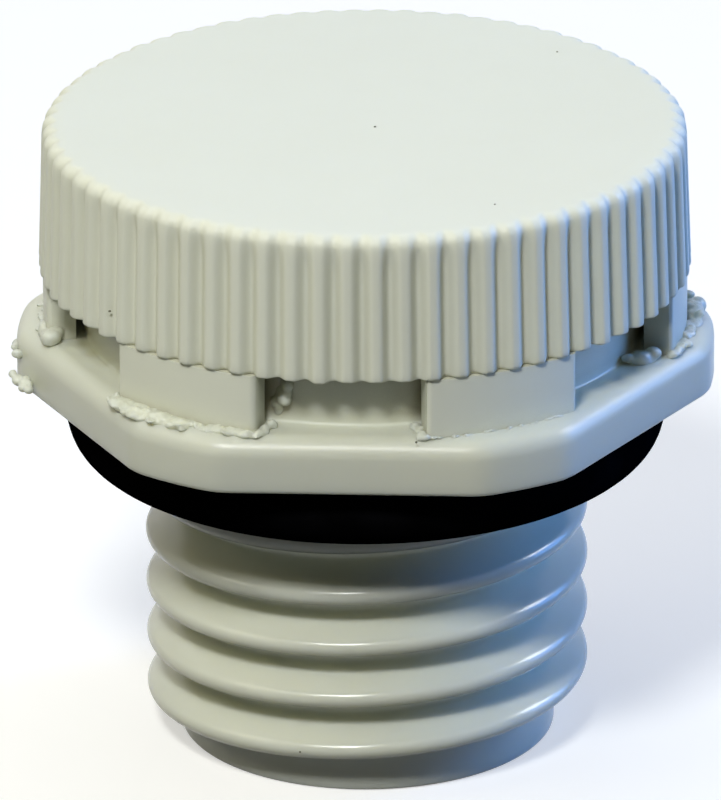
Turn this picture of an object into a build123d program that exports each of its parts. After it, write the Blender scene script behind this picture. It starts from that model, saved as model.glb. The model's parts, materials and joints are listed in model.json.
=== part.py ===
from build123d import *
import os
from math import hypot, radians, tan

# Breather vent plug, in millimetres. It stands on the end of its shank at Z = 0, and Z is the thread's axis.
# Angles are in degrees about Z, counted from +X. The hexagon has a corner at 0 and a flat that faces -Y.

# Shank and its thread, a moulded right-hand M12 x 1.5 whose crests are eased until they are round
thread_diameter = 12.0
thread_pitch = 1.5
thread_depth = 0.92
thread_flank_angle = 30.0
crest_bevel = 0.09
crest_edge_bevel = 0.037
crest_cut = 0.01
thread_root_land = 0.1
thread_first_crest = 0.97
thread_start_angle = 113.15
thread_runout = 0.69
shank_length = 10.14
shank_end_chamfer = 0.12
lead_in_height = 1.0
collar_setback = 0.2
collar_height = 1.4

# Hexagon flange, whose flats stand a little inside the cap's skirt
flat_setback = 0.03
corner_reach = 0.68
flange_thickness = 1.556
flange_top_rounding = 0.55
flange_bottom_rounding = 0.12

# Air passage, membrane seat and the boss around it
air_bore_diameter = 7.2
boss_clearance = 0.3
boss_top_gap = 0.814
boss_foot_rounding = 0.15
boss_rim_wall = 1.25
boss_rim_chamfer = 0.2
chamber_depth = 2.0
seat_depth = 0.8
seat_width = 0.9
membrane_thickness = 0.3
membrane_clearance = 0.15

# Knurled cap on its six legs
skirt_diameter = 17.52
skirt_height = 4.07
skirt_draft = 2.0
cap_wall_thickness = 0.71
disc_thickness = 1.3
disc_edge_bevel = 0.22
rib_count = 72
rib_offset_angle = 0.97
groove_depth = 0.32
groove_width = 0.44
leg_count = 6
leg_setback = 0.15
leg_width_angle = 29.7
leg_height = 1.644
leg_edge_rounding = 0.12
cap_turn_angle = -1.45

# Sealing ring
seal_section = 2.0
seal_clearance = 0.08

# Heights and radii that follow from the sizes above
thread_radius = thread_diameter / 2
root_radius = thread_radius - thread_depth
flange_bottom = shank_length
flange_top = flange_bottom + flange_thickness
skirt_bottom = flange_top + leg_height
cap_top = skirt_bottom + skirt_height
cap_ceiling = cap_top - disc_thickness
boss_top = cap_ceiling - boss_top_gap
seat_height = boss_top - seat_depth
skirt_radius = skirt_diameter / 2
leg_radius = skirt_radius - leg_setback
cap_inner_radius = leg_radius - cap_wall_thickness
boss_radius = cap_inner_radius - boss_clearance
seat_radius = boss_radius - boss_rim_wall
membrane_radius = seat_radius - membrane_clearance
chamber_radius = membrane_radius - seat_width
flat_radius = skirt_radius - flat_setback
corner_radius = flat_radius + corner_reach


def turned(points):
    """A solid turned about Z from half of its section, given as radius and height."""
    return revolve(Plane.XZ * make_face(Polyline(*points, close=True)), Axis.Z)


def thread_ridge():
    """One helical ridge, swept a hair too tall and cut back, so that its crest is a narrow round land.

    The crest is eased in two steps, and the lead-in cone at the shank's end trims the first turn.
    """
    height = flange_bottom - collar_height - thread_runout - thread_first_crest
    slope = tan(radians(thread_flank_angle))
    foot = (thread_pitch - thread_root_land) / 2
    root_bite = thread_root_land / 4 / slope
    tip_radius = thread_radius + crest_cut
    tip = foot - (tip_radius - root_radius) * slope
    section = Plane.XZ * Polygon(
        (root_radius - root_bite, -foot - root_bite * slope),
        (tip_radius, -tip),
        (tip_radius, tip),
        (root_radius - root_bite, foot + root_bite * slope),
        align=None,
    )
    section = chamfer(section.vertices().sort_by(Axis.X)[-2:], crest_bevel)
    section = chamfer(section.vertices().sort_by(Axis.X)[-4:], crest_edge_bevel)
    path = Helix(pitch=thread_pitch, height=height, radius=root_radius)
    ridge = sweep(section, path=path, is_frenet=True)
    ridge = Pos(0, 0, thread_first_crest) * Rot(0, 0, thread_start_angle) * ridge
    lead_in = turned([
        (0, 0),
        (thread_radius - lead_in_height, 0),
        (thread_radius, lead_in_height),
        (thread_radius, shank_length),
        (0, shank_length),
    ])
    return ridge & lead_in


def hexagon_flange():
    """The spanner flange: a hexagon with its corners turned off and its top edge well rounded."""
    outline = RegularPolygon(flat_radius, 6, major_radius=False) & Circle(corner_radius)
    flange = Pos(0, 0, flange_bottom) * extrude(outline, flange_thickness)
    flange = fillet(flange.edges().group_by(Axis.Z)[-1], flange_top_rounding)
    return fillet(flange.edges().group_by(Axis.Z)[0], flange_bottom_rounding)


def shank():
    """The solid core of the shank with its ridge, and the plain collar that centres the sealing ring."""
    collar_radius = thread_radius - collar_setback
    collar_bottom = flange_bottom - collar_height
    collar_bevel = (collar_radius - root_radius) / 2
    core = turned([
        (0, 0),
        (root_radius - shank_end_chamfer, 0),
        (root_radius, shank_end_chamfer),
        (root_radius, collar_bottom),
        (collar_radius, collar_bottom + collar_bevel),
        (collar_radius, flange_bottom),
        (0, flange_bottom),
    ])
    return core + thread_ridge()


def boss():
    """The round wall that rises from the flange inside the cap, bevelled at its rim."""
    return turned([
        (0, flange_bottom),
        (boss_radius + boss_foot_rounding, flange_bottom),
        (boss_radius + boss_foot_rounding, flange_top),
        (boss_radius, flange_top + boss_foot_rounding),
        (boss_radius, boss_top - boss_rim_chamfer),
        (boss_radius - boss_rim_chamfer, boss_top),
        (0, boss_top),
    ])


def air_passage():
    """What is hollow in the body: the bore, the wider chamber over it, and the seat for the membrane."""
    bore_radius = air_bore_diameter / 2
    chamber_floor = seat_height - chamber_depth
    return turned([
        (0, 0),
        (bore_radius, 0),
        (bore_radius, chamber_floor - (chamber_radius - bore_radius) / 2),
        (chamber_radius, chamber_floor),
        (chamber_radius, seat_height),
        (seat_radius, seat_height),
        (seat_radius, boss_top),
        (0, boss_top),
    ])


def vent_body():
    """The lower moulding: threaded hollow shank, flange, and the boss that carries the membrane."""
    return shank() + hexagon_flange() + boss() - air_passage()


def knurl_groove():
    """The prism that cuts one V groove between two ribs, leaning inwards with the skirt's draft."""
    reach = 0.3
    half_width = groove_width / 2 * (groove_depth + reach) / groove_depth
    section = Polygon((-groove_depth, 0), (reach, -half_width), (reach, half_width), align=None)
    lean = (-tan(radians(skirt_draft)), 0, 1)
    return Pos(skirt_radius, 0, skirt_bottom) * extrude(section, skirt_height + reach, dir=lean)


def turned_cap():
    """Disc, skirt and the ring that becomes the legs, turned in one with a slight draft and hollow below."""
    top_radius = skirt_radius - skirt_height * tan(radians(skirt_draft))
    section = Polygon(
        (0, cap_ceiling),
        (cap_inner_radius, cap_ceiling),
        (cap_inner_radius, flange_top),
        (leg_radius, flange_top),
        (leg_radius, skirt_bottom),
        (skirt_radius, skirt_bottom),
        (top_radius, cap_top),
        (0, cap_top),
        align=None,
    )
    rim = section.vertices().filter_by_position(Axis.Y, cap_top, cap_top).sort_by(Axis.X)[-1]
    return revolve(Plane.XZ * chamfer(rim, disc_edge_bevel), Axis.Z)


def air_window():
    """What is cut away between two legs, up to the skirt's lower edge."""
    reach = 1.0
    window_angle = 360 / leg_count - leg_width_angle
    width = cap_wall_thickness + 2 * reach
    section = Pos(cap_inner_radius - reach + width / 2, skirt_bottom - (leg_height + reach) / 2) * Rectangle(
        width, leg_height + reach
    )
    return Rot(0, 0, leg_width_angle / 2) * revolve(Plane.XZ * section, Axis.Z, revolution_arc=window_angle)


def knurled_cap():
    """The upper moulding: a flat disc, a ribbed skirt with draft, and six legs that stand on the flange.

    The grooves stop at the skirt's lower edge, so the legs stay plain.
    """
    windows = [Rot(0, 0, index * 360 / leg_count) * air_window() for index in range(leg_count)]
    cap = turned_cap() - windows
    middle_radius = (cap_inner_radius + leg_radius) / 2
    upright = cap.edges().filter_by(Axis.Z)
    leg_edges = upright.filter_by(lambda edge: hypot(edge.center().X, edge.center().Y) > middle_radius)
    cap = fillet(leg_edges, leg_edge_rounding)
    pitch = 360 / rib_count
    groove = Rot(0, 0, rib_offset_angle + pitch / 2) * knurl_groove()
    grooves = [Rot(0, 0, index * pitch) * groove for index in range(rib_count)]
    return Rot(0, 0, cap_turn_angle) * (cap - grooves)


def vent_membrane():
    """The porous disc that lets air through and keeps water out, lying on its seat."""
    return Pos(0, 0, seat_height) * Cylinder(
        membrane_radius, membrane_thickness, align=(Align.CENTER, Align.CENTER, Align.MIN)
    )


def seal_ring():
    """The rubber ring that slips over the thread and rests under the flange."""
    ring_radius = (thread_diameter + seal_section) / 2 + seal_clearance
    return Pos(0, 0, flange_bottom - seal_section / 2) * Torus(ring_radius, seal_section / 2)


os.makedirs("parts", exist_ok=True)
export_step(vent_body(), "parts/vent_body.step")
export_step(knurled_cap(), "parts/knurled_cap.step")
export_step(vent_membrane(), "parts/vent_membrane.step")
export_step(seal_ring(), "parts/seal_ring.step")
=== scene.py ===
import json
import math

import bmesh
import bpy
import numpy as np
from mathutils import Matrix, Quaternion, Vector

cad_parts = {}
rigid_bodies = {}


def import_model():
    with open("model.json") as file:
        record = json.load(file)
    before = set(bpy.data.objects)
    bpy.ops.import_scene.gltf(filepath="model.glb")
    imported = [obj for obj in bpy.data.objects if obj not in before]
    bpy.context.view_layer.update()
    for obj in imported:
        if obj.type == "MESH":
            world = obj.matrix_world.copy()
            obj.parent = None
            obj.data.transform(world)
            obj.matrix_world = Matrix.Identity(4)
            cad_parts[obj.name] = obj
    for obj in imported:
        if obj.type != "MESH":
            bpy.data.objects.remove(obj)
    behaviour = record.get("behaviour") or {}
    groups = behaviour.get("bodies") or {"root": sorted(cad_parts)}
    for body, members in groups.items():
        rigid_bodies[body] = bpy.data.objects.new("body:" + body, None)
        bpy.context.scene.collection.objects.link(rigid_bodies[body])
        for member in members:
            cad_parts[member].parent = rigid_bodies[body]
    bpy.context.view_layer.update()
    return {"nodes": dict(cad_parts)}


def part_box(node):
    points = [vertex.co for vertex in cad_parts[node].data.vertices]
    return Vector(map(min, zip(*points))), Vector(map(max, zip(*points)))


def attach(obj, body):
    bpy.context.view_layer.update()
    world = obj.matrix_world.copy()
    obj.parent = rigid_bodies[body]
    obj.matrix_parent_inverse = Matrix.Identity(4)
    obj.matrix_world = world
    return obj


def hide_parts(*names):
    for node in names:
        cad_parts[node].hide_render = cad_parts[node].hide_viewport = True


mm = 0.001
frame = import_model()


def nodeBox(name):
    # lowest and highest corner of a CAD node, in millimetres
    return [[round(value / mm, 3) for value in corner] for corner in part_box(name)]


def hexToLinear(colour):
    # sRGB hex text to the linear values that the shaders take
    parts = [int(colour[i:i + 2], 16) / 255 for i in (1, 3, 5)]
    linear = [p / 12.92 if p <= 0.04045 else ((p + 0.055) / 1.055) ** 2.4 for p in parts]
    return (*linear, 1.0)


def addNode(tree, kind, settings=None, links=None):
    # one node, its settings, then its inputs: a socket is linked, anything else is set
    node = tree.nodes.new(kind)
    for name, value in (settings or {}).items():
        setattr(node, name, value)
    for name, value in (links or {}).items():
        if isinstance(value, bpy.types.NodeSocket):
            tree.links.new(value, node.inputs[name])
        else:
            node.inputs[name].default_value = value
    return node


def emptyMaterial(name):
    # a material without nodes, and its tree
    material = bpy.data.materials.new(name)
    material.use_nodes = True
    material.node_tree.nodes.clear()
    return material, material.node_tree


def addObject(name, data):
    thing = bpy.data.objects.new(name, data)
    bpy.context.scene.collection.objects.link(thing)
    return thing


def smoothStep(value, low, high):
    t = np.clip((value - low) / (high - low), 0, 1)
    return t * t * (3 - 2 * t)


polyamideLook = {
    "paleColour": "#DDE1D3",      # glass-grey polyamide, a touch green
    "warmColour": "#DADDCD",      # where the pigment is a little thicker
    "cloudSize": 3.2,             # colour drifts over a few millimetres of melt flow
    "grainSize": 0.09,            # spark-eroded mould texture
    "grainDepth": 0.0004,
    "waveSize": 2.4,              # sink and flow waves, too shallow to see but in the gloss
    "waveDepth": 0.010,
    "roughness": 0.35, "roughnessSpread": (-0.04, 0.05), "gloss": 0.36, "ior": 1.53,
    "threadPolish": 0.15,         # the thread's mould inserts are polished so that they unscrew
    "polishHeights": (9.0, 10.2),
    "translucency": 0.5,          # light creeps through thin ribs and thread crests
    "seepDistance": (0.55, 0.5, 0.3),
    # painted shade: olive darkening in the recesses, stronger under the cap above the flange, where the cap
    # shades
    "creviceShadeColour": "#8C8565", "creviceReach": 1.2,
    "creviceShadeShare": 0.10, "upperCreviceShadeShare": 1.0, "creviceHeights": (11.7, 12.0),
    "creviceDeep": 0.15, "creviceEdge": 0.9,      # openness at which the painted shade is full, and at which it fades out
}
# the cap is paler than the body: partly its own moulding, partly painted light that keeps the cap brighter
# than the flange below
capPlasticLook = {
    **polyamideLook, "paleColour": "#F0F4E6", "warmColour": "#EDF0E0", "roughness": 0.44, "gloss": 0.27,
    "translucency": 0.1, "creviceShadeShare": 0.5, "upperCreviceShadeShare": 0.45,
    "creviceDeep": 0.45, "creviceEdge": 0.92,
}
flashPlasticLook = {
    **polyamideLook, "paleColour": "#E6EADE", "warmColour": "#DEE2D2", "grainDepth": 0.004,
    "waveSize": 0.4, "waveDepth": 0.02, "roughness": 0.3, "creviceShadeShare": 0.25, "upperCreviceShadeShare": 0.75,
    "creviceReach": 0.9,
}


def mouldedPolyamide(name, look):
    # Polyamide moulded in a fine spark-eroded tool: satin, slightly cloudy, light seeps into thin edges. Its
    # recesses get painted shade.
    material, tree = emptyMaterial(name)
    place = addNode(tree, "ShaderNodeTexCoord").outputs["Object"]
    axes = addNode(tree, "ShaderNodeSeparateXYZ", None, {"Vector": place})
    cloud = addNode(tree, "ShaderNodeTexNoise", None, {
        "Vector": place, "Scale": 1 / (look["cloudSize"] * mm), "Detail": 3.0, "Roughness": 0.55})
    tint = addNode(tree, "ShaderNodeMix", {"data_type": "RGBA"}, {
        0: cloud.outputs["Fac"], 6: hexToLinear(look["paleColour"]), 7: hexToLinear(look["warmColour"])})
    grain = addNode(tree, "ShaderNodeTexNoise", None, {
        "Vector": place, "Scale": 1 / (look["grainSize"] * mm), "Detail": 2.0})
    wave = addNode(tree, "ShaderNodeTexNoise", None, {
        "Vector": place, "Scale": 1 / (look["waveSize"] * mm), "Detail": 1.0})

    # the grain varies the gloss a little, and the thread is smoother than the rest
    smoother, rougher = look["roughnessSpread"]
    sheen = addNode(tree, "ShaderNodeMapRange", None, {
        "Value": grain.outputs["Fac"], "From Min": 0.3, "From Max": 0.7,
        "To Min": look["roughness"] + smoother, "To Max": look["roughness"] + rougher})
    threadTop, plainFrom = look["polishHeights"]
    polish = addNode(tree, "ShaderNodeMapRange", None, {
        "Value": axes.outputs["Z"], "From Min": threadTop * mm, "From Max": plainFrom * mm,
        "To Min": look["threadPolish"], "To Max": 0.0})
    roughness = addNode(tree, "ShaderNodeMath", {"operation": "SUBTRACT"}, {
        0: sheen.outputs["Result"], 1: polish.outputs["Result"]})

    # painted shade: where little light gets in, the colour is darkened towards olive
    lower, upper = look["creviceHeights"]
    share = addNode(tree, "ShaderNodeMapRange", None, {
        "Value": axes.outputs["Z"], "From Min": lower * mm, "From Max": upper * mm,
        "To Min": look["creviceShadeShare"], "To Max": look["upperCreviceShadeShare"]})
    openness = addNode(tree, "ShaderNodeAmbientOcclusion", {"samples": 4}, {
        "Distance": look["creviceReach"] * mm})
    depth = addNode(tree, "ShaderNodeMapRange", None, {
        "Value": openness.outputs["AO"], "From Min": look["creviceDeep"], "From Max": look["creviceEdge"],
        "To Min": share.outputs["Result"], "To Max": 0.0})
    shadedTint = addNode(tree, "ShaderNodeMix", {"data_type": "RGBA"}, {
        0: depth.outputs["Result"], 6: tint.outputs[2], 7: hexToLinear(look["creviceShadeColour"])})

    fine = addNode(tree, "ShaderNodeBump", None, {
        "Height": grain.outputs["Fac"], "Distance": look["grainDepth"] * mm, "Strength": 1.0})
    broad = addNode(tree, "ShaderNodeBump", None, {
        "Height": wave.outputs["Fac"], "Distance": look["waveDepth"] * mm, "Strength": 1.0,
        "Normal": fine.outputs["Normal"]})
    shader = addNode(tree, "ShaderNodeBsdfPrincipled", {"subsurface_method": "BURLEY"}, {
        "Base Color": shadedTint.outputs[2], "Roughness": roughness.outputs["Value"],
        "Normal": broad.outputs["Normal"], "IOR": look["ior"], "Specular IOR Level": look["gloss"],
        "Subsurface Weight": look["translucency"], "Subsurface Radius": look["seepDistance"],
        "Subsurface Scale": mm})
    addNode(tree, "ShaderNodeOutputMaterial", None, {"Surface": shader.outputs["BSDF"]})
    return material


rubberLook = {"colour": "#050506", "dustColour": "#0C0C0F", "bloomSize": 1.6, "grainSize": 0.16,
              "grainDepth": 0.004, "roughness": 0.80, "gloss": 0.0, "ior": 1.52}
dustColours = {"colour": "#74745F", "dustColour": "#8E8E78"}    # specks as matt and grainy as the rubber


def mouldedRubber(name, look):
    # Nitrile rubber, compression moulded: almost black, matt, with a faint bloom here and there.
    material, tree = emptyMaterial(name)
    place = addNode(tree, "ShaderNodeTexCoord").outputs["Object"]
    bloom = addNode(tree, "ShaderNodeTexNoise", None, {
        "Vector": place, "Scale": 1 / (look["bloomSize"] * mm), "Detail": 4.0})
    spread = addNode(tree, "ShaderNodeMapRange", None, {
        "Value": bloom.outputs["Fac"], "From Min": 0.5, "From Max": 0.8})
    tint = addNode(tree, "ShaderNodeMix", {"data_type": "RGBA"}, {
        0: spread.outputs["Result"], 6: hexToLinear(look["colour"]), 7: hexToLinear(look["dustColour"])})
    grain = addNode(tree, "ShaderNodeTexNoise", None, {
        "Vector": place, "Scale": 1 / (look["grainSize"] * mm), "Detail": 2.0})
    bump = addNode(tree, "ShaderNodeBump", None, {
        "Height": grain.outputs["Fac"], "Distance": look["grainDepth"] * mm, "Strength": 0.8})
    shader = addNode(tree, "ShaderNodeBsdfPrincipled", None, {
        "Base Color": tint.outputs[2], "Roughness": look["roughness"], "Normal": bump.outputs["Normal"],
        "IOR": look["ior"], "Specular IOR Level": look["gloss"]})
    addNode(tree, "ShaderNodeOutputMaterial", None, {"Surface": shader.outputs["BSDF"]})
    return material


membraneLook = {"colour": "#F1F1EE", "shadeColour": "#E2E3E0", "fibreSize": 0.12, "fibreDepth": 0.01,
                "roughness": 0.85, "ior": 1.35}


def stretchedMembrane(name, look):
    # Expanded PTFE film: chalk white and quite matt, with the crossing fibrils of a stretched film.
    material, tree = emptyMaterial(name)
    place = addNode(tree, "ShaderNodeTexCoord").outputs["Object"]
    fibre = addNode(tree, "ShaderNodeTexVoronoi", {"feature": "DISTANCE_TO_EDGE"}, {
        "Vector": place, "Scale": 1 / (look["fibreSize"] * 2 * mm)})
    web = addNode(tree, "ShaderNodeTexNoise", None, {
        "Vector": place, "Scale": 1 / (look["fibreSize"] * mm), "Detail": 5.0, "Distortion": 1.2})
    tint = addNode(tree, "ShaderNodeMix", {"data_type": "RGBA"}, {
        0: web.outputs["Fac"], 6: hexToLinear(look["colour"]), 7: hexToLinear(look["shadeColour"])})
    height = addNode(tree, "ShaderNodeMath", {"operation": "ADD"}, {
        0: fibre.outputs["Distance"], 1: web.outputs["Fac"]})
    bump = addNode(tree, "ShaderNodeBump", None, {
        "Height": height.outputs["Value"], "Distance": look["fibreDepth"] * mm, "Strength": 0.7})
    shader = addNode(tree, "ShaderNodeBsdfPrincipled", None, {
        "Base Color": tint.outputs[2], "Roughness": look["roughness"], "Normal": bump.outputs["Normal"],
        "IOR": look["ior"]})
    addNode(tree, "ShaderNodeOutputMaterial", None, {"Surface": shader.outputs["BSDF"]})
    return material


capPlastic = mouldedPolyamide("moulded grey polyamide cap", capPlasticLook)
bodyPlastic = mouldedPolyamide("moulded grey polyamide body", polyamideLook)
flashPlastic = mouldedPolyamide("melted polyamide flash", flashPlasticLook)
ringRubber = mouldedRubber("moulded nitrile rubber", rubberLook)
darkDust = mouldedRubber("dark workshop dust", {**rubberLook, **dustColours})
ventFilm = stretchedMembrane("stretched membrane film", membraneLook)
print("materials ready")

# The cap, body and ring are meshes of rows that run round the axis.
weldDistance = 0.0004    # points nearer than this become one
cornerAngle = 50.0       # edges that turn by more stay crisp under smooth shading


def roundShell(name, rows, angles, material, loops):
    # rows holds a radius and a height for each row and angle; loops joins the last row to the first
    radius, height = rows[..., 0], rows[..., 1]
    points = np.stack([radius * np.cos(angles), radius * np.sin(angles), height], axis=-1) * mm
    index = np.arange(radius.size).reshape(radius.shape)
    lower = index if loops else index[:-1]
    upper = np.roll(index, -1, axis=0) if loops else index[1:]
    corners = [lower, np.roll(lower, -1, 1), np.roll(upper, -1, 1), upper]
    faces = np.stack(corners, axis=-1).reshape(-1, 4)
    mesh = bpy.data.meshes.new(name)
    mesh.from_pydata(points.reshape(-1, 3).tolist(), [], faces.tolist())
    work = bmesh.new()
    work.from_mesh(mesh)
    bmesh.ops.remove_doubles(work, verts=work.verts, dist=weldDistance * mm)
    bmesh.ops.dissolve_degenerate(work, edges=work.edges, dist=weldDistance * mm)
    bmesh.ops.recalc_face_normals(work, faces=work.faces)
    for face in work.faces:
        face.smooth = True
    work.to_mesh(mesh)
    work.free()
    mesh.materials.append(material)
    return addObject(name, mesh)


def sharpenCorners(piece):
    work = bmesh.new()
    work.from_mesh(piece.data)
    for edge in work.edges:
        if len(edge.link_faces) == 2 and edge.calc_face_angle(0) > math.radians(cornerAngle):
            edge.smooth = False
    work.to_mesh(piece.data)
    work.free()


def arcRows(centreRadius, centreHeight, size, start, stop, steps):
    # rows along a rounded edge; the centre radius may differ from column to column
    rows = []
    for step in range(steps + 1):
        turn = math.radians(start + (stop - start) * step / steps)
        rows.append((centreRadius + size * math.cos(turn), centreHeight + size * math.sin(turn)))
    return rows


def stackRows(rows, columnCount):
    out = np.zeros((len(rows), columnCount, 2))
    for i, (radius, height) in enumerate(rows):
        out[i, :, 0] = radius
        out[i, :, 1] = height
    return out


capLow, capHigh = nodeBox("knurled_cap")
capLook = {
    "topHeight": capHigh[2], "footHeight": capLow[2], "discThickness": 1.3, "skirtHeight": 4.07,
    "crestRadius": 8.79, "draft": 2.0, "topRounding": 0.36, "bottomRounding": 0.07, "legTopRounding": 0.12,
    "innerRadius": 7.9, "ceilingCorner": 0.25,
    "ribCount": 72, "firstCrest": 0.0, "ribDepth": 0.22,
    "crestShare": 0.20,                                 # of a rib's width that is flat crest
    "ribFade": 0.45, "fadeFrom": 1.0, "fadeTo": 0.1,    # the grooves get shallower near the top edge
    "ribUnevenness": 0.012, "bottomUnevenness": 0.035,
    "legCount": 6, "legCentre": -1.45, "legWidth": 29.7, "legRadius": 8.68, "legEdge": 0.16,
    "ledgeInset": 0.05, "ledgeStep": 0.03,              # how far the skirt's lip runs in between two legs
    "seed": 4,
    # how dense the mesh is: columns, and where rows lie as shares of each stretch
    "columnsPerRib": 16, "columnGap": 0.06, "legSideColumns": (-0.004, 0.0, 0.02, 0.05, 0.09, 0.13, 0.16),
    "discEdge": 0.96, "discRows": (0.15, 0.35, 0.55, 0.75, 0.88, 0.94, 0.975),
    "wallRows": (0.03, 0.08, 0.16, 0.28, 0.4, 0.52, 0.64, 0.76, 0.86, 0.94),
    "legRows": (0.08, 0.3, 0.55, 0.8, 1.0), "footRow": 0.3, "innerLegRows": (0.25, 0.5, 0.8),
    "innerWallRows": (0.4, 0.8), "ceilingRows": (6.0, 3.5, 1.0, 0.0),
}


def ribTurns(angles, look):
    # how many ribs each column is away from the first one's left side
    return (np.degrees(angles) - look["firstCrest"]) * look["ribCount"] / 360 + 0.5


def ribShape(angles, look):
    # 0 on a rib's flat crest and 1 in the round-bottomed groove between two
    across = ribTurns(angles, look) % 1 - 0.5
    side = np.clip((np.abs(2 * across) - look["crestShare"]) / (1 - look["crestShare"]), 0, 1)
    return (1 - np.cos(np.pi * side)) / 2


def legShape(angles, look):
    # distance in millimetres of each column inside the nearest leg's side; negative outside the legs
    pitch = 360 / look["legCount"]
    off = (np.degrees(angles) - look["legCentre"] + pitch / 2) % pitch - pitch / 2
    return np.radians(look["legWidth"] / 2 - np.abs(off)) * look["legRadius"]


def capAngles(look):
    # even columns for the ribs, with more of them at the sides of the legs
    count = look["ribCount"] * look["columnsPerRib"]
    even = look["firstCrest"] + np.arange(count) * 360 / count
    extra = []
    for leg in range(look["legCount"]):
        for side in (-1, 1):
            edge = look["legCentre"] + leg * 360 / look["legCount"] + side * look["legWidth"] / 2
            for inward in look["legSideColumns"]:
                extra.append(edge - side * math.degrees(inward / look["legRadius"]))
    extra = np.array(extra)
    gap = np.abs((even[:, None] - extra[None, :] + 180) % 360 - 180).min(axis=1)
    return np.radians(np.sort(np.concatenate([even[gap > look["columnGap"]], extra]) % 360))


def knurledCap(look):
    # from the middle of the disc over the edge, down the ribbed skirt and up the inside
    angles = capAngles(look)
    rng = np.random.default_rng(look["seed"])
    groove = ribShape(angles, look)
    ribIndex = np.floor(ribTurns(angles, look)).astype(int) % look["ribCount"]
    crestShift = rng.normal(0, look["ribUnevenness"], look["ribCount"])[ribIndex]
    bottomShift = rng.uniform(-1, 1, look["ribCount"])[ribIndex] * look["bottomUnevenness"] * (1 - groove)
    inside = legShape(angles, look)
    onLeg = inside >= 0
    top, rim = look["topHeight"], look["topRounding"]
    bottom, ceiling = top - look["skirtHeight"], top - look["discThickness"]
    slope = math.tan(math.radians(look["draft"]))

    def wall(height):
        crest = look["crestRadius"] - (height - bottom) * slope
        fade = look["ribFade"] * smoothStep(height, top - look["fadeFrom"], top - look["fadeTo"])
        return crest + crestShift * (1 - groove) - look["ribDepth"] * (1 - fade) * groove

    # disc, its rounded edge and the skirt
    rows = [(0.0, top)]
    for share in look["discRows"]:
        rows.append((wall(top) * share * look["discEdge"], top))
    rows += arcRows(wall(top) - rim, top - rim, rim, start=90, stop=4, steps=9)
    edge = np.where(onLeg, look["legTopRounding"], look["bottomRounding"])
    for share in look["wallRows"]:
        height = top - rim - share * (top - rim - bottom - edge)
        rows.append((wall(height), height))
    unevenBottom = bottom + np.where(onLeg, 0.0, bottomShift)
    rows += arcRows(wall(bottom) - edge, unevenBottom + edge, edge, start=0, stop=-80, steps=3)

    # the legs: outer wall, foot and inner wall; between the legs these rows fall together on the skirt's edge
    rounding = look["legEdge"]
    near = np.clip(rounding - np.clip(inside, 0, None), 0, rounding)
    legOuter = look["legRadius"] - (rounding - np.sqrt(rounding ** 2 - near ** 2))
    lip = np.minimum(look["legRadius"] - look["ledgeInset"], wall(bottom) - edge - look["ledgeStep"])
    outer = np.where(onLeg, legOuter, lip)
    foot = np.where(onLeg, look["footHeight"], unevenBottom)
    inner = look["innerRadius"]
    rows.append((outer, unevenBottom))
    for share in look["legRows"]:
        rows.append((outer, unevenBottom + (foot - unevenBottom) * share))
    rows += [(inner + look["footRow"], foot), (inner, foot)]
    for share in look["innerLegRows"]:
        rows.append((inner, foot + (unevenBottom - foot) * share))

    # the inside of the skirt and the ceiling
    rows.append((inner, bottom))
    for share in look["innerWallRows"]:
        rows.append((inner, bottom + (ceiling - bottom) * share))
    corner = look["ceilingCorner"]
    rows += arcRows(inner - corner, ceiling - corner, corner, start=0, stop=90, steps=4)
    for radius in look["ceilingRows"]:
        rows.append((radius, ceiling))
    piece = roundShell("knurled_cap_shell", stackRows(rows, len(angles)), angles, capPlastic, loops=False)
    sharpenCorners(piece)
    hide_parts("knurled_cap")
    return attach(piece, "root")


cap = knurledCap(capLook)
print("cap:", len(cap.data.polygons), "faces")

ringLow, ringHigh = nodeBox("seal_ring")
ringSection = 1.0    # radius of the ring's round section
ringLook = {
    "section": ringSection, "centreRadius": ringHigh[0] - ringSection,
    "centreHeight": (ringLow[2] + ringHigh[2]) / 2, "columns": 192, "around": 40,
    "partingLine": 0.03, "partingWidth": 7.0,         # height, and width in degrees round the section
    "slack": 0.005, "contactFlat": 0.985,
}

bodyHigh = nodeBox("vent_body")[1]
membraneLow = nodeBox("vent_membrane")[0]
bodyLook = {
    "flangeBottom": ringLook["centreHeight"] + ringLook["section"], "flangeTop": capLow[2],
    "flatRadius": bodyHigh[1], "cornerRadius": 9.41, "cornerBlend": 0.14,
    "topRounding": 0.55, "bottomRounding": 0.14,
    "bossRadius": 7.6, "bossFoot": 0.08, "bossTop": bodyHigh[2], "bossRim": 0.2, "bossRimBulge": 0.3,
    "seatRadius": 6.35, "seatHeight": membraneLow[2], "seatEdge": 0.05, "chamberRadius": 5.3,
    "chamberDepth": 2.0, "boreRadius": 3.6, "boreEdge": 0.15,
    "rootRadius": 5.08, "threadDepth": 0.915, "pitch": 1.5, "firstCrest": 0.84, "startAngle": 113.15,
    "turns": 4.72, "ridgeFade": 26.0,                 # the ridge swells and dies away over so many degrees
    "upperFlank": 36.0, "lowerFlank": 17.0, "crestRounding": 0.27, "rootRounding": 0.12,
    "leadInHeight": 1.0, "leadInCut": 0.08, "endRounding": 0.07,
    "collarRadius": 5.8, "collarBottom": 8.74, "collarGap": 0.02, "collarCone": ((0.6, 0.16), (1.0, 0.36)),
    # how dense the mesh is, with radii or shares of the plainer stretches' rows
    "columns": 360, "threadFrom": 0.2, "rowStep": 0.045, "undersideRows": (6.4, 7.2, 8.0),
    "undersideInset": 0.35, "flangeRows": (0.35, 0.7), "bossRows": (0.3, 0.65, 1.0), "rimRow": 6.9,
    "seatRow": 5.8, "chamberRow": 1.0, "boreRows": (0.25, 0.5, 0.75, 0.95), "endRows": (4.1, 4.6),
    "collarRow": 0.5,
}


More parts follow.
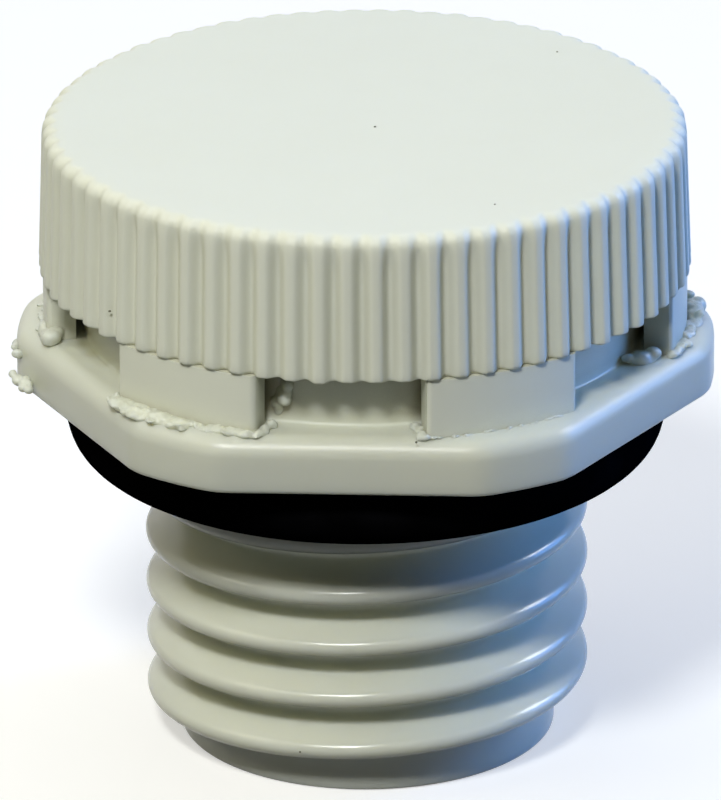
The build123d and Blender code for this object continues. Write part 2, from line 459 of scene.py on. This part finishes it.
def hexagonEdge(angles, inset, look):
    # the hexagon's outline with turned-off corners, drawn in by an inset
    toFlat = (np.degrees(angles) % 60) - 30
    flat = (look["flatRadius"] - inset) / np.cos(np.radians(toFlat))
    corner = look["cornerRadius"] - inset
    blend = look["cornerBlend"]
    overlap = np.clip(blend - np.abs(flat - corner), 0, None) / blend
    return np.minimum(flat, corner) - overlap ** 2 * blend / 4


def ridgeHeight(off, look):
    # height of the ridge above the root, at a distance along the axis from its crest line
    flank = np.radians(np.where(off > 0, look["upperFlank"], look["lowerFlank"]))
    rounding = look["crestRounding"]
    turned = rounding * np.cos(flank)
    arc = look["threadDepth"] - rounding + np.sqrt(rounding ** 2 - np.minimum(np.abs(off), turned) ** 2)
    ridge = arc - np.maximum(np.abs(off) - turned, 0) / np.tan(flank)
    blend = look["rootRounding"]
    near = np.clip(1 - np.abs(ridge) / blend, 0, 1)
    return np.maximum(ridge, 0) + near ** 2 * blend / 4


def threadRadius(angles, height, look):
    # the root, and the round ridge wherever one of its turns passes
    root, cut = look["rootRadius"], look["leadInCut"]
    radius = np.full(len(angles), root)
    length, halfFade = look["turns"] * 360, look["ridgeFade"] / 2
    for turn in range(-1, math.ceil(look["turns"]) + 2):
        wound = np.degrees(angles) % 360 + 360 * turn - look["startAngle"]
        fade = smoothStep(wound, -halfFade, halfFade)
        fade = fade * (1 - smoothStep(wound, length - halfFade, length + halfFade))
        crest = look["firstCrest"] + look["pitch"] * wound / 360
        radius = np.maximum(radius, root + ridgeHeight(height - crest, look) * fade)
    leadIn = root - cut + height / look["leadInHeight"] * (look["threadDepth"] + cut)
    return np.minimum(radius, np.maximum(leadIn, root))


def flangeRows(angles, look):
    # from the collar out along the underside, up round the hexagon and in to the boss
    low, high = look["flangeBottom"], look["flangeTop"]
    small, large = look["bottomRounding"], look["topRounding"]
    rows = [(look["collarRadius"], low)]
    for radius in look["undersideRows"]:
        rows.append((radius, low))
    rows.append((hexagonEdge(angles, look["undersideInset"], look), low))
    for step in range(5):
        turn = math.radians(90 * step / 4)
        inset = small * (1 - math.sin(turn))
        rows.append((hexagonEdge(angles, inset, look), low + small * (1 - math.cos(turn))))
    for share in look["flangeRows"]:
        rows.append((hexagonEdge(angles, 0, look), low + small + (high - large - low - small) * share))
    for step in range(11):
        turn = math.radians(90 * step / 10)
        inset = large * (1 - math.cos(turn))
        rows.append((hexagonEdge(angles, inset, look), high - large * (1 - math.sin(turn))))
    boss = look["bossRadius"] + look["bossFoot"]
    rows.append(((hexagonEdge(angles, large, look) + boss) / 2, high))
    return rows


def bossRows(look):
    # up the boss and over its rim to the membrane's seat
    high, foot = look["flangeTop"], look["bossFoot"]
    boss, bossTop, rim = look["bossRadius"], look["bossTop"], look["bossRim"]
    rows = []
    for step in range(4):
        turn = math.radians(90 * step / 3)
        rows.append((boss + foot * (1 - math.sin(turn)), high + foot * (1 - math.cos(turn))))
    for share in look["bossRows"]:
        rows.append((boss, high + foot + (bossTop - rim - high - foot) * share))
    bulge = rim * look["bossRimBulge"]
    rows += [(boss - bulge, bossTop - bulge), (boss - rim, bossTop), (look["rimRow"], bossTop)]
    seat, edge = look["seatRadius"], look["seatEdge"]
    rows += [(seat + edge, bossTop), (seat, bossTop - edge), (seat, look["seatHeight"])]
    return rows


def passageRows(look):
    # down the chamber and the bore, and out along the shank's end
    seatHeight, chamber, bore = look["seatHeight"], look["chamberRadius"], look["boreRadius"]
    chamberFloor = seatHeight - look["chamberDepth"]
    boreTop = chamberFloor - (chamber - bore) / 2
    edge, end, root = look["boreEdge"], look["endRounding"], look["rootRadius"]
    rows = [(look["seatRow"], seatHeight), (chamber, seatHeight)]
    rows += [(chamber, chamberFloor + look["chamberRow"]), (chamber, chamberFloor), (bore, boreTop)]
    for share in look["boreRows"]:
        rows.append((bore, boreTop * (1 - share) + edge * share))
    for radius in (bore + edge, *look["endRows"], root - end):
        rows.append((radius, 0.0))
    for step in range(1, 4):
        turn = math.radians(90 * step / 3)
        rows.append((root - end + end * math.sin(turn), end - end * math.cos(turn)))
    return rows


def shankRows(angles, look):
    # up the thread to the collar
    start, stop = look["threadFrom"], look["collarBottom"] - look["collarGap"]
    count = int((stop - start) / look["rowStep"])
    rows = []
    for step in range(count + 1):
        height = start + (stop - start) * step / count
        rows.append((threadRadius(angles, height, look), height))
    neck = threadRadius(angles, stop, look)
    for share, rise in look["collarCone"]:
        rows.append((neck + (look["collarRadius"] - neck) * share, look["collarBottom"] + rise))
    rows.append((look["collarRadius"], look["flangeBottom"] - look["collarRow"]))
    return rows


def ventBody(look):
    angles = np.radians(np.arange(look["columns"]) * 360 / look["columns"])
    rows = flangeRows(angles, look) + bossRows(look) + passageRows(look) + shankRows(angles, look)
    piece = roundShell("vent_body_moulding", stackRows(rows, len(angles)), angles, bodyPlastic, loops=True)
    sharpenCorners(piece)
    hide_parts("vent_body")
    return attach(piece, "root")


body = ventBody(bodyLook)
print("body:", len(body.data.polygons), "faces")


def sealingRing(look):
    # a round section with the thin parting line that its mould leaves inside and out, pressed flat on top
    angles = np.radians(np.arange(look["columns"]) * 360 / look["columns"])
    rows = []
    for step in range(look["around"]):
        turn = 360 * step / look["around"]
        toLine = min(abs((turn + 180) % 360 - 180), abs(turn % 360 - 180))
        ridge = look["partingLine"] * math.exp(-(toLine / look["partingWidth"]) ** 2)
        size = look["section"] - look["slack"] + ridge
        rise = min(math.sin(math.radians(turn)), look["contactFlat"])
        radius = look["centreRadius"] + size * math.cos(math.radians(turn))
        rows.append((radius, look["centreHeight"] + size * rise))
    piece = roundShell("sealing_ring_rubber", stackRows(rows, len(angles)), angles, ringRubber, loops=True)
    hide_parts("seal_ring")
    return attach(piece, "root")


ring = sealingRing(ringLook)
print("ring:", len(ring.data.polygons), "faces")

# Melted flash of the weld between cap and flange. Each string of beads has a start and an end as angle,
# radius and height, the smallest and largest bead, how many, their scatter, and how flat they lie, where 1
# is round.
flashLook = {
    "seed": 11, "voxel": 0.045, "easing": 4, "stretch": (0.75, 1.25), "spin": 6.28, "lean": 0.25,
    "legCentre": capLook["legCentre"], "legPitch": 360 / capLook["legCount"],
    "strings": [
        # ragged sheet at the left leg's foot, and the thin fold before it
        ((-136.5, 8.78, 11.72), (-119.0, 8.90, 11.70), 0.14, 0.24, 100, 0.13, 0.34),
        ((-126.0, 8.80, 11.70), (-107.0, 8.68, 11.71), 0.11, 0.20, 80, 0.09, 0.36),
        ((-132.0, 9.06, 11.62), (-115.0, 8.96, 11.61), 0.08, 0.14, 46, 0.05, 0.4),
        # what ran round its right foot and onto the boss
        ((-105.8, 8.60, 11.71), (-104.6, 7.90, 11.80), 0.10, 0.16, 14, 0.04, 0.7),
        ((-105.4, 7.54, 11.96), (-102.8, 7.48, 12.80), 0.13, 0.21, 24, 0.06, 1.0),
        # right leg's left foot, and its front
        ((-77.4, 7.90, 11.72), (-76.6, 8.70, 11.72), 0.11, 0.18, 9, 0.05, 0.7),
        ((-75.5, 8.70, 11.70), (-50.0, 8.70, 11.70), 0.06, 0.08, 46, 0.02, 0.6),
        # mounds beside the outer legs
        ((-170.5, 8.70, 11.82), (-164.0, 8.58, 11.90), 0.20, 0.30, 10, 0.07, 0.8),
        ((-23.5, 7.70, 11.76), (-17.5, 8.40, 11.78), 0.13, 0.24, 12, 0.08, 0.8),
        ((-16.0, 8.74, 11.72), (-1.0, 8.78, 11.72), 0.10, 0.19, 34, 0.07, 0.6),
        ((0.0, 8.95, 11.70), (10.0, 8.80, 11.88), 0.16, 0.28, 14, 0.09, 0.8),
        # smeared corner of the flange
        ((-175.5, 9.42, 11.20), (-170.5, 9.42, 11.08), 0.10, 0.18, 7, 0.05, 0.8),
        ((-170.0, 9.42, 10.56), (-163.5, 9.22, 10.46), 0.11, 0.20, 9, 0.06, 0.8),
    ],
    # a thin even string at the feet of the legs at the sides and at the back
    "hiddenLegs": (0, 1, 2, 3), "hiddenReach": 14, "hiddenPlace": (8.72, 11.71),
    "hiddenBeads": (0.08, 0.15, 44, 0.05, 0.5),
}


def polar(angle, radius, height):
    turn = math.radians(angle)
    return Vector((radius * math.cos(turn), radius * math.sin(turn), height))


def beadString(work, string, rng, look):
    # small squashed beads strung out between two places; they are melted together later
    start, end, small, large, count, scatter, flatness = string
    for share in rng.uniform(0, 1, count):
        place = polar(*[a + (b - a) * share for a, b in zip(start, end)])
        place += Vector(rng.normal(0, scatter, 3) * (1, 1, flatness ** 2))
        size = rng.uniform(small, large) * rng.uniform(*look["stretch"], 3) * (1, 1, flatness)
        turn = rng.uniform(0, look["spin"])
        axis = Vector((*rng.normal(0, look["lean"], 2), 1)).normalized()
        shape = Matrix.Translation(place) @ Matrix.Rotation(turn, 4, axis) @ Matrix.Diagonal((*size, 1.0))
        bmesh.ops.create_icosphere(work, subdivisions=2, radius=1.0, matrix=shape)


def weldFlash(look):
    # the beads are built in millimetres, fused by a voxel remesh and then brought to metres
    rng = np.random.default_rng(look["seed"])
    work = bmesh.new()
    for string in look["strings"]:
        beadString(work, string, rng, look)
    for leg in look["hiddenLegs"]:
        middle = look["legCentre"] + look["legPitch"] * leg
        ends = [(middle + side * look["hiddenReach"], *look["hiddenPlace"]) for side in (-1, 1)]
        beadString(work, (*ends, *look["hiddenBeads"]), rng, look)
    mesh = bpy.data.meshes.new("weld_flash_beads")
    work.to_mesh(mesh)
    work.free()
    beads = addObject("weld_flash_beads", mesh)
    fuse = beads.modifiers.new("fuse", "REMESH")
    fuse.mode = "VOXEL"
    fuse.voxel_size = look["voxel"]
    ease = beads.modifiers.new("ease", "SMOOTH")
    ease.factor = 0.5
    ease.iterations = look["easing"]
    graph = bpy.context.evaluated_depsgraph_get()
    melted = bpy.data.meshes.new_from_object(beads.evaluated_get(graph))
    bpy.data.objects.remove(beads)
    melted.transform(Matrix.Scale(mm, 4))
    for face in melted.polygons:
        face.use_smooth = True
    melted.materials.clear()
    melted.materials.append(flashPlastic)
    piece = addObject("weld_flash", melted)
    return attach(piece, "root")


flash = weldFlash(flashLook)
print("weld flash:", len(flash.data.polygons), "faces")

dustLook = {
    "seed": 5, "size": (0.022, 0.038),
    # angle, radius and height of each: three on the disc, two between ribs, one each on flange and thread
    "places": [(-58.7, 0.61, 17.41), (46.6, 7.24, 17.41), (-58.0, 7.10, 17.41), (-137.7, 8.74, 14.16),
               (-100.7, 8.64, 15.95), (-78.3, 8.86, 11.696), (-104.6, 5.99, 1.42)],
}


def dustSpecks(look):
    rng = np.random.default_rng(look["seed"])
    work = bmesh.new()
    for place in look["places"]:
        size = Matrix.Diagonal((*(rng.uniform(*look["size"], 3) * mm), 1.0))
        shape = Matrix.Translation(polar(*place) * mm) @ size
        bmesh.ops.create_icosphere(work, subdivisions=2, radius=1.0, matrix=shape)
    mesh = bpy.data.meshes.new("dust_specks")
    work.to_mesh(mesh)
    work.free()
    mesh.materials.append(darkDust)
    piece = addObject("dust_specks", mesh)
    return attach(piece, "root")


dust = dustSpecks(dustLook)
print("dust:", len(dust.data.polygons), "faces")

# the membrane's own solid is right as it is, and gets its film
membrane = frame["nodes"]["vent_membrane"]
membrane.data.materials.clear()
membrane.data.materials.append(ventFilm)
print("membrane:", len(membrane.data.polygons), "faces")


def seenShare(tree):
    # 1 for rays from the camera, in gloss and through glass, 0 for the light that bounces
    path = addNode(tree, "ShaderNodeLightPath")
    first = addNode(tree, "ShaderNodeMath", {"operation": "MAXIMUM"}, {
        0: path.outputs["Is Camera Ray"], 1: path.outputs["Is Glossy Ray"]})
    both = addNode(tree, "ShaderNodeMath", {"operation": "MAXIMUM"}, {
        0: first.outputs[0], 1: path.outputs["Is Transmission Ray"]})
    return both.outputs[0]


studioLook = {"floorColour": "#D9D9D6", "speckleColour": "#D5D5D2", "speckleSize": 1.111,
              "bounceColour": "#383B3E", "floorLift": 0.5, "floorSize": 3000.0, "floorDrop": 0.02}


def studioFloor(look):
    # Pale matt board, white to the eye and in gloss with a soft shadow. It bounces less light than that.
    mesh = bpy.data.meshes.new("floor_board")
    work = bmesh.new()
    bmesh.ops.create_grid(work, x_segments=4, y_segments=4, size=look["floorSize"] / 2 * mm)
    work.to_mesh(mesh)
    work.free()
    floor = addObject("floor_board", mesh)
    floor.location.z = -look["floorDrop"] * mm
    material, tree = emptyMaterial("pale board")
    place = addNode(tree, "ShaderNodeTexCoord").outputs["Object"]
    speckle = addNode(tree, "ShaderNodeTexNoise", None, {
        "Vector": place, "Scale": 1 / (look["speckleSize"] * mm), "Detail": 2.0})
    tint = addNode(tree, "ShaderNodeMix", {"data_type": "RGBA"}, {
        0: speckle.outputs["Fac"], 6: hexToLinear(look["floorColour"]),
        7: hexToLinear(look["speckleColour"])})
    board = addNode(tree, "ShaderNodeBsdfDiffuse", None, {"Color": tint.outputs[2]})
    glow = addNode(tree, "ShaderNodeEmission", None, {"Color": (1, 1, 1, 1), "Strength": look["floorLift"]})
    seen = addNode(tree, "ShaderNodeAddShader", None, {0: board.outputs[0], 1: glow.outputs[0]})
    bounce = addNode(tree, "ShaderNodeBsdfDiffuse", None, {"Color": hexToLinear(look["bounceColour"])})
    mix = addNode(tree, "ShaderNodeMixShader", None, {
        0: seenShare(tree), 1: bounce.outputs[0], 2: seen.outputs[0]})
    addNode(tree, "ShaderNodeOutputMaterial", None, {"Surface": mix.outputs[0]})
    mesh.materials.append(material)


# a pale room, warm on the left and cool on the right; the change lies between two directions along X
skyLook = {"leftColour": "#FFFAD0", "rightColour": "#E0EAF4", "strength": 0.06, "changeover": (-0.4, 0.9)}


def softSky(look):
    world = bpy.data.worlds.new("soft room")
    bpy.context.scene.world = world
    world.use_nodes = True
    tree = world.node_tree
    tree.nodes.clear()
    direction = addNode(tree, "ShaderNodeTexCoord").outputs["Generated"]
    axes = addNode(tree, "ShaderNodeSeparateXYZ", None, {"Vector": direction})
    left, right = look["changeover"]
    side = addNode(tree, "ShaderNodeMapRange", {"interpolation_type": "SMOOTHSTEP"}, {
        "Value": axes.outputs["X"], "From Min": left, "From Max": right})
    tint = addNode(tree, "ShaderNodeMix", {"data_type": "RGBA"}, {
        0: side.outputs["Result"], 6: hexToLinear(look["leftColour"]), 7: hexToLinear(look["rightColour"])})
    room = addNode(tree, "ShaderNodeBackground", None, {
        "Color": tint.outputs[2], "Strength": look["strength"]})
    white = addNode(tree, "ShaderNodeBackground", None, {"Color": (1, 1, 1, 1), "Strength": 1.0})
    mix = addNode(tree, "ShaderNodeMixShader", None, {
        0: seenShare(tree), 1: room.outputs[0], 2: white.outputs[0]})
    addNode(tree, "ShaderNodeOutputWorld", None, {"Surface": mix.outputs[0]})


cameraLook = {"azimuth": 3.15, "elevation": 22.5, "roll": -0.36, "distance": 350.0, "lens": 582.4,
              "sensor": 36.0, "targetRight": -0.145, "targetHeight": 9.28}

# Lamp azimuths count from the camera's side towards the right. The two glints are small windows in the room
# that only show in the gloss; what they add to the matt surface is part of the soft lamps beside them.
lampLook = {
    "distance": 300, "aimHeight": 9,
    "lamps": [
        {"name": "front_soft", "azimuth": -16, "elevation": 49, "size": (56, 44), "power": 0.53,
         "colour": "#FFFFFC"},
        {"name": "overhead_soft", "azimuth": 180, "elevation": 72, "size": (220, 220), "power": 0.225,
         "colour": "#F4F6FF"},
        {"name": "left_soft", "azimuth": -80, "elevation": 42, "size": (160, 140), "power": 0.17,
         "colour": "#FFF6D2"},
        {"name": "cool_window", "azimuth": 104, "elevation": 12, "size": (140, 190), "power": 0.78,
         "colour": "#68A6FF"},
        {"name": "window_glint", "azimuth": 103, "elevation": 34, "size": (80, 90), "power": 0.42,
         "colour": "#F6FAFF", "onlyInGloss": True},
        {"name": "front_glint", "azimuth": -34, "elevation": 49, "size": (20, 20), "power": 0.16,
         "colour": "#FFFFFF", "onlyInGloss": True},
    ],
}


def awayFrom(azimuth, elevation):
    # direction from the plug towards a camera or lamp
    turn, rise = math.radians(azimuth), math.radians(elevation)
    return Vector((math.sin(turn) * math.cos(rise), -math.cos(turn) * math.cos(rise), math.sin(rise)))


def softLamp(lamp, look):
    toward = awayFrom(lamp["azimuth"] + cameraLook["azimuth"], lamp["elevation"])
    data = bpy.data.lights.new(lamp["name"], "AREA")
    data.shape = "RECTANGLE"
    data.size, data.size_y = [side * mm for side in lamp["size"]]
    data.energy = lamp["power"]
    data.color = hexToLinear(lamp["colour"])[:3]
    holder = addObject(lamp["name"], data)
    holder.location = Vector((0, 0, look["aimHeight"] * mm)) + toward * look["distance"] * mm
    holder.rotation_euler = (-toward).to_track_quat("-Z", "Y").to_euler()
    holder.visible_diffuse = not lamp.get("onlyInGloss", False)


def plugCamera(look):
    # a long lens a third of a metre away, looking down on the plug as the photograph does
    back = awayFrom(look["azimuth"], look["elevation"])
    turn = math.radians(look["azimuth"])
    right = Vector((math.cos(turn), math.sin(turn), 0))
    data = bpy.data.cameras.new("plug_camera")
    data.lens = look["lens"]
    data.sensor_width = look["sensor"]
    data.clip_start, data.clip_end = 0.01, 20.0
    camera = addObject("plug_camera", data)
    target = right * look["targetRight"] * mm + Vector((0, 0, look["targetHeight"] * mm))
    camera.location = target + back * look["distance"] * mm
    aim = (-back).to_track_quat("-Z", "Y")
    aim.rotate(Quaternion(back, math.radians(look["roll"])))
    camera.rotation_mode = "QUATERNION"
    camera.rotation_quaternion = aim
    bpy.context.scene.camera = camera


studioFloor(studioLook)
softSky(skyLook)
for lamp in lampLook["lamps"]:
    softLamp(lamp, lampLook)
plugCamera(cameraLook)
bpy.context.scene.view_settings.view_transform = "Standard"
print("floor, light and camera ready")

print("scene ready")
